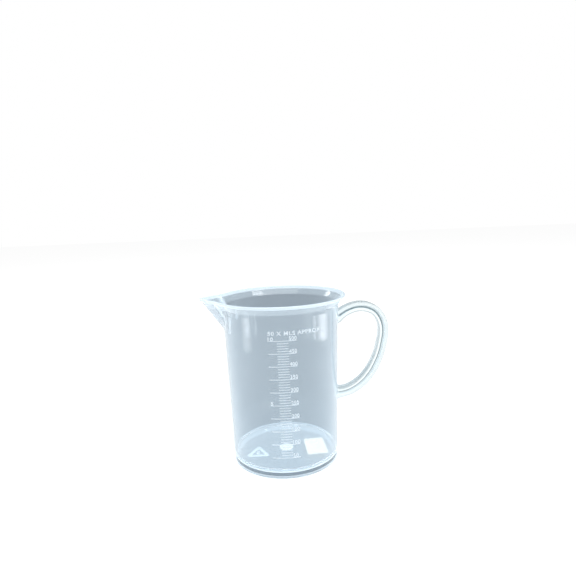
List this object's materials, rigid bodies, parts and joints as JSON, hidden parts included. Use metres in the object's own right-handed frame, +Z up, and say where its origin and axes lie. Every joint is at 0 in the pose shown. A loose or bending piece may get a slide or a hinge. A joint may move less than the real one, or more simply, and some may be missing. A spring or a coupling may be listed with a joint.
{
  "type": "measuring beaker",
  "caption": "Clear plastic measuring beaker with a flared rim, a pouring spout, a looped side handle and a moulded millilitre scale.",
  "frame": {"origin": "bottom centre of the whole object's box, on the surface it stands on; the vessel's own axis is 10.5 mm towards -X from it, because the handle reaches further than the spout", "axes": "+Z up along the vessel's axis, +X towards the handle, -X towards the spout, -Y towards the scale"},
  "size_m": [0.1434, 0.099, 0.1272],
  "materials": {
    "clear_body": "clear, faintly blue, smooth moulded gloss",
    "clear_edge": "clear, bright where the edge gathers light",
    "clear_handle": "clear to slightly milky, gloss",
    "raised_marks": "finely frosted raised marks",
    "label_paper": "matt coated paper"
  },
  "bodies": {
    "root": {"foot_ring": "clear_edge", "floor": "clear_body", "wall": "clear_body", "flared_lip": "clear_body", "rim_bead": "clear_edge", "spout": "clear_body", "spout_bead": "clear_edge", "handle_outer_rail": "clear_handle", "handle_web": "clear_handle", "handle_inner_rail": "clear_handle", "mark_050_ml": "raised_marks", "mark_100_ml": "raised_marks", "mark_150_ml": "raised_marks", "mark_200_ml": "raised_marks", "mark_250_ml": "raised_marks", "mark_300_ml": "raised_marks", "mark_350_ml": "raised_marks", "mark_400_ml": "raised_marks", "mark_450_ml": "raised_marks", "mark_500_ml": "raised_marks", "gate_mark": "raised_marks", "floor_emblem": "raised_marks", "price_label": "label_paper"}
  },
  "joints": []
}
